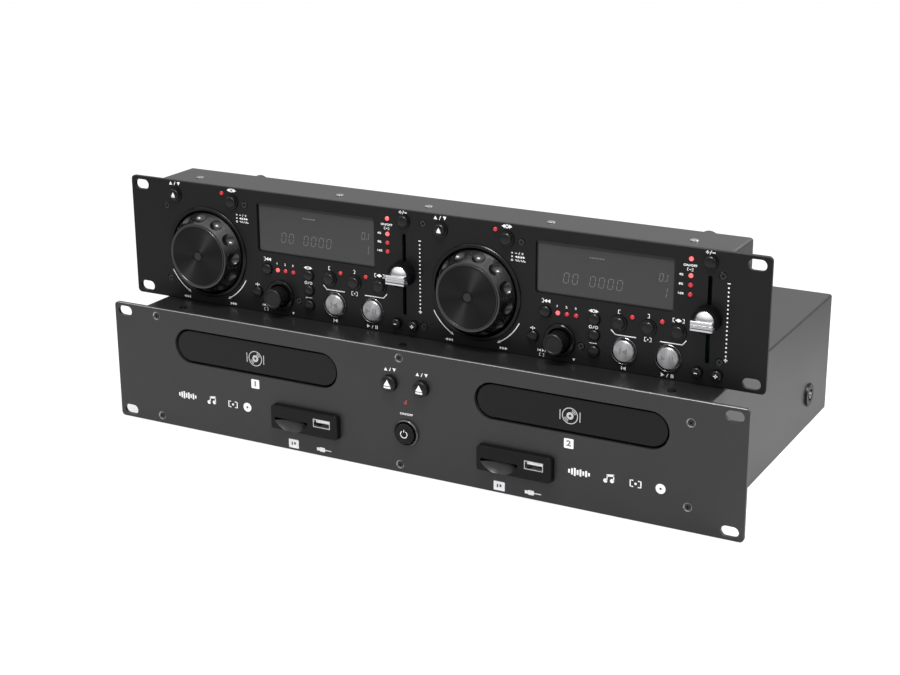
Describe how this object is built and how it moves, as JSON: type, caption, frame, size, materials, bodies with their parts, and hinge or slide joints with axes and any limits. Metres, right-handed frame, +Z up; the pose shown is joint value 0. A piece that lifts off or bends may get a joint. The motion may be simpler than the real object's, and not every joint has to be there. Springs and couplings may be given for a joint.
{
  "type": "twin disc player for disc jockeys with controller",
  "caption": "Rack-width twin disc player with tray fronts and media ports, carrying a shallow controller with jog wheels, displays, pitch faders and buttons.",
  "frame": {"origin": "centre of the footprint, on the surface the player stands on", "axes": "+X to the right along the face plates, +Y to the back, +Z up"},
  "size_m": [0.4826, 0.2695, 0.1768],
  "materials": {
    "player_panel": "satin black face plate with a thin bright bevel",
    "controller_panel": "deep satin black face plate with printed legends",
    "cover_paint": "fine-textured black powder coat on folded sheet steel",
    "chassis_steel": "black painted sheet steel",
    "black_plastic": "satin black moulded plastic",
    "tray_plastic": "fine-grained black moulded plastic",
    "drive_plastic": "dark moulded loader frame",
    "silver_plastic": "silver lacquered plastic",
    "disc_aluminium": "black anodised aluminium, turned, with a fan-like shine and a thin light rim",
    "gloss_black": "glossy black with bevelled edges",
    "window_plastic": "glossy dark clear window",
    "screw_black": "black oxide screws",
    "socket_plastic": "black moulded socket bodies",
    "circuit_board": "green solder mask with plastic switch bodies"
  },
  "bodies": {
    "player": {"player_front_panel": "player_panel", "player_chassis": "chassis_steel", "player_cover": "cover_paint", "player_boards": "circuit_board", "player_screws": "screw_black", "disc_drives": "drive_plastic", "media_ports": "black_plastic", "rear_sockets": "socket_plastic"},
    "controller": {"controller_front_panel": "controller_panel", "controller_case": "cover_paint", "controller_board": "circuit_board", "controller_screws": "screw_black", "controller_sockets": "socket_plastic", "display_windows": "window_plastic", "bezel_rings": "gloss_black"},
    "tray_1_body": {"tray_1": "tray_plastic", "tray_front_1": "black_plastic"},
    "tray_2_body": {"tray_2": "tray_plastic", "tray_front_2": "black_plastic"},
    "jog_wheel_1_body": {"jog_wheel_1": "black_plastic", "jog_disc_1": "disc_aluminium"},
    "jog_wheel_2_body": {"jog_wheel_2": "black_plastic", "jog_disc_2": "disc_aluminium"},
    "pitch_fader_1_body": {"pitch_fader_1": "silver_plastic"},
    "pitch_fader_2_body": {"pitch_fader_2": "silver_plastic"},
    "track_knob_1_body": {"track_knob_1": "black_plastic"},
    "track_knob_2_body": {"track_knob_2": "black_plastic"},
    "open_close_button_1_body": {"open_close_button_1": "black_plastic"},
    "jog_mode_button_1_body": {"jog_mode_button_1": "black_plastic"},
    "source_button_1_body": {"source_button_1": "black_plastic"},
    "bpm_button_1_body": {"bpm_button_1": "black_plastic"},
    "repeat_button_1_body": {"repeat_button_1": "black_plastic"},
    "time_button_1_body": {"time_button_1": "black_plastic"},
    "single_button_1_body": {"single_button_1": "black_plastic"},
    "in_button_1_body": {"in_button_1": "black_plastic"},
    "out_button_1_body": {"out_button_1": "black_plastic"},
    "reloop_button_1_body": {"reloop_button_1": "black_plastic"},
    "cue_button_1_body": {"cue_button_1": "silver_plastic"},
    "play_button_1_body": {"play_button_1": "silver_plastic"},
    "pitch_button_1_body": {"pitch_button_1": "black_plastic"},
    "minus_button_1_body": {"minus_button_1": "black_plastic"},
    "plus_button_1_body": {"plus_button_1": "black_plastic"},
    "open_close_button_2_body": {"open_close_button_2": "black_plastic"},
    "jog_mode_button_2_body": {"jog_mode_button_2": "black_plastic"},
    "source_button_2_body": {"source_button_2": "black_plastic"},
    "bpm_button_2_body": {"bpm_button_2": "black_plastic"},
    "repeat_button_2_body": {"repeat_button_2": "black_plastic"},
    "time_button_2_body": {"time_button_2": "black_plastic"},
    "single_button_2_body": {"single_button_2": "black_plastic"},
    "in_button_2_body": {"in_button_2": "black_plastic"},
    "out_button_2_body": {"out_button_2": "black_plastic"},
    "reloop_button_2_body": {"reloop_button_2": "black_plastic"},
    "cue_button_2_body": {"cue_button_2": "silver_plastic"},
    "play_button_2_body": {"play_button_2": "silver_plastic"},
    "pitch_button_2_body": {"pitch_button_2": "black_plastic"},
    "minus_button_2_body": {"minus_button_2": "black_plastic"},
    "plus_button_2_body": {"plus_button_2": "black_plastic"},
    "eject_button_1_body": {"eject_button_1": "black_plastic"},
    "eject_button_2_body": {"eject_button_2": "black_plastic"},
    "power_button_body": {"power_button": "gloss_black"}
  },
  "joints": [
    {"name": "tray_1_slide", "type": "slide", "parent": "player", "child": "tray_1_body", "axis": [0, -1, 0], "range_m": [0, 0.132]},
    {"name": "tray_2_slide", "type": "slide", "parent": "player", "child": "tray_2_body", "axis": [0, -1, 0], "range_m": [0, 0.132]},
    {"name": "controller_lift", "type": "slide", "parent": "player", "child": "controller", "axis": [0, 0, 1], "range_m": [0, 0.12]},
    {"name": "jog_wheel_1_turn", "type": "hinge", "parent": "controller", "child": "jog_wheel_1_body", "pos_m": [-0.1758, -0.10225, 0.1263], "axis": [0, 1, 0], "continuous": true},
    {"name": "jog_wheel_2_turn", "type": "hinge", "parent": "controller", "child": "jog_wheel_2_body", "pos_m": [0.0406, -0.10225, 0.1263], "axis": [0, 1, 0], "continuous": true},
    {"name": "pitch_fader_1_slide", "type": "slide", "parent": "controller", "child": "pitch_fader_1_body", "axis": [0, 0, 1], "range_m": [-0.0242, 0.0218]},
    {"name": "pitch_fader_2_slide", "type": "slide", "parent": "controller", "child": "pitch_fader_2_body", "axis": [0, 0, 1], "range_m": [-0.0242, 0.0218]},
    {"name": "track_knob_1_turn", "type": "hinge", "parent": "controller", "child": "track_knob_1_body", "pos_m": [-0.1145, -0.10225, 0.1027], "axis": [0, 1, 0], "continuous": true},
    {"name": "track_knob_2_turn", "type": "hinge", "parent": "controller", "child": "track_knob_2_body", "pos_m": [0.1019, -0.10225, 0.1027], "axis": [0, 1, 0], "continuous": true},
    {"name": "open_close_button_1_press", "type": "slide", "parent": "controller", "child": "open_close_button_1_body", "axis": [0, 1, 0], "range_m": [0, 0.0008], "stiffness_N_per_m": 600},
    {"name": "jog_mode_button_1_press", "type": "slide", "parent": "controller", "child": "jog_mode_button_1_body", "axis": [0, 1, 0], "range_m": [0, 0.0008], "stiffness_N_per_m": 600},
    {"name": "source_button_1_press", "type": "slide", "parent": "controller", "child": "source_button_1_body", "axis": [0, 1, 0], "range_m": [0, 0.0008], "stiffness_N_per_m": 600},
    {"name": "bpm_button_1_press", "type": "slide", "parent": "controller", "child": "bpm_button_1_body", "axis": [0, 1, 0], "range_m": [0, 0.0008], "stiffness_N_per_m": 600},
    {"name": "repeat_button_1_press", "type": "slide", "parent": "controller", "child": "repeat_button_1_body", "axis": [0, 1, 0], "range_m": [0, 0.0008], "stiffness_N_per_m": 600},
    {"name": "time_button_1_press", "type": "slide", "parent": "controller", "child": "time_button_1_body", "axis": [0, 1, 0], "range_m": [0, 0.0008], "stiffness_N_per_m": 600},
    {"name": "single_button_1_press", "type": "slide", "parent": "controller", "child": "single_button_1_body", "axis": [0, 1, 0], "range_m": [0, 0.0008], "stiffness_N_per_m": 600},
    {"name": "in_button_1_press", "type": "slide", "parent": "controller", "child": "in_button_1_body", "axis": [0, 1, 0], "range_m": [0, 0.0008], "stiffness_N_per_m": 600},
    {"name": "out_button_1_press", "type": "slide", "parent": "controller", "child": "out_button_1_body", "axis": [0, 1, 0], "range_m": [0, 0.0008], "stiffness_N_per_m": 600},
    {"name": "reloop_button_1_press", "type": "slide", "parent": "controller", "child": "reloop_button_1_body", "axis": [0, 1, 0], "range_m": [0, 0.0008], "stiffness_N_per_m": 600},
    {"name": "cue_button_1_press", "type": "slide", "parent": "controller", "child": "cue_button_1_body", "axis": [0, 1, 0], "range_m": [0, 0.0012], "stiffness_N_per_m": 600},
    {"name": "play_button_1_press", "type": "slide", "parent": "controller", "child": "play_button_1_body", "axis": [0, 1, 0], "range_m": [0, 0.0012], "stiffness_N_per_m": 600},
    {"name": "pitch_button_1_press", "type": "slide", "parent": "controller", "child": "pitch_button_1_body", "axis": [0, 1, 0], "range_m": [0, 0.0008], "stiffness_N_per_m": 600},
    {"name": "minus_button_1_press", "type": "slide", "parent": "controller", "child": "minus_button_1_body", "axis": [0, 1, 0], "range_m": [0, 0.0008], "stiffness_N_per_m": 600},
    {"name": "plus_button_1_press", "type": "slide", "parent": "controller", "child": "plus_button_1_body", "axis": [0, 1, 0], "range_m": [0, 0.0008], "stiffness_N_per_m": 600},
    {"name": "open_close_button_2_press", "type": "slide", "parent": "controller", "child": "open_close_button_2_body", "axis": [0, 1, 0], "range_m": [0, 0.0008], "stiffness_N_per_m": 600},
    {"name": "jog_mode_button_2_press", "type": "slide", "parent": "controller", "child": "jog_mode_button_2_body", "axis": [0, 1, 0], "range_m": [0, 0.0008], "stiffness_N_per_m": 600},
    {"name": "source_button_2_press", "type": "slide", "parent": "controller", "child": "source_button_2_body", "axis": [0, 1, 0], "range_m": [0, 0.0008], "stiffness_N_per_m": 600},
    {"name": "bpm_button_2_press", "type": "slide", "parent": "controller", "child": "bpm_button_2_body", "axis": [0, 1, 0], "range_m": [0, 0.0008], "stiffness_N_per_m": 600},
    {"name": "repeat_button_2_press", "type": "slide", "parent": "controller", "child": "repeat_button_2_body", "axis": [0, 1, 0], "range_m": [0, 0.0008], "stiffness_N_per_m": 600},
    {"name": "time_button_2_press", "type": "slide", "parent": "controller", "child": "time_button_2_body", "axis": [0, 1, 0], "range_m": [0, 0.0008], "stiffness_N_per_m": 600},
    {"name": "single_button_2_press", "type": "slide", "parent": "controller", "child": "single_button_2_body", "axis": [0, 1, 0], "range_m": [0, 0.0008], "stiffness_N_per_m": 600},
    {"name": "in_button_2_press", "type": "slide", "parent": "controller", "child": "in_button_2_body", "axis": [0, 1, 0], "range_m": [0, 0.0008], "stiffness_N_per_m": 600},
    {"name": "out_button_2_press", "type": "slide", "parent": "controller", "child": "out_button_2_body", "axis": [0, 1, 0], "range_m": [0, 0.0008], "stiffness_N_per_m": 600},
    {"name": "reloop_button_2_press", "type": "slide", "parent": "controller", "child": "reloop_button_2_body", "axis": [0, 1, 0], "range_m": [0, 0.0008], "stiffness_N_per_m": 600},
    {"name": "cue_button_2_press", "type": "slide", "parent": "controller", "child": "cue_button_2_body", "axis": [0, 1, 0], "range_m": [0, 0.0012], "stiffness_N_per_m": 600},
    {"name": "play_button_2_press", "type": "slide", "parent": "controller", "child": "play_button_2_body", "axis": [0, 1, 0], "range_m": [0, 0.0012], "stiffness_N_per_m": 600},
    {"name": "pitch_button_2_press", "type": "slide", "parent": "controller", "child": "pitch_button_2_body", "axis": [0, 1, 0], "range_m": [0, 0.0008], "stiffness_N_per_m": 600},
    {"name": "minus_button_2_press", "type": "slide", "parent": "controller", "child": "minus_button_2_body", "axis": [0, 1, 0], "range_m": [0, 0.0008], "stiffness_N_per_m": 600},
    {"name": "plus_button_2_press", "type": "slide", "parent": "controller", "child": "plus_button_2_body", "axis": [0, 1, 0], "range_m": [0, 0.0008], "stiffness_N_per_m": 600},
    {"name": "eject_button_1_press", "type": "slide", "parent": "player", "child": "eject_button_1_body", "axis": [0, 1, 0], "range_m": [0, 0.001], "stiffness_N_per_m": 600},
    {"name": "eject_button_2_press", "type": "slide", "parent": "player", "child": "eject_button_2_body", "axis": [0, 1, 0], "range_m": [0, 0.001], "stiffness_N_per_m": 600},
    {"name": "power_button_press", "type": "slide", "parent": "player", "child": "power_button_body", "axis": [0, 1, 0], "range_m": [0, 0.002], "stiffness_N_per_m": 400}
  ]
}
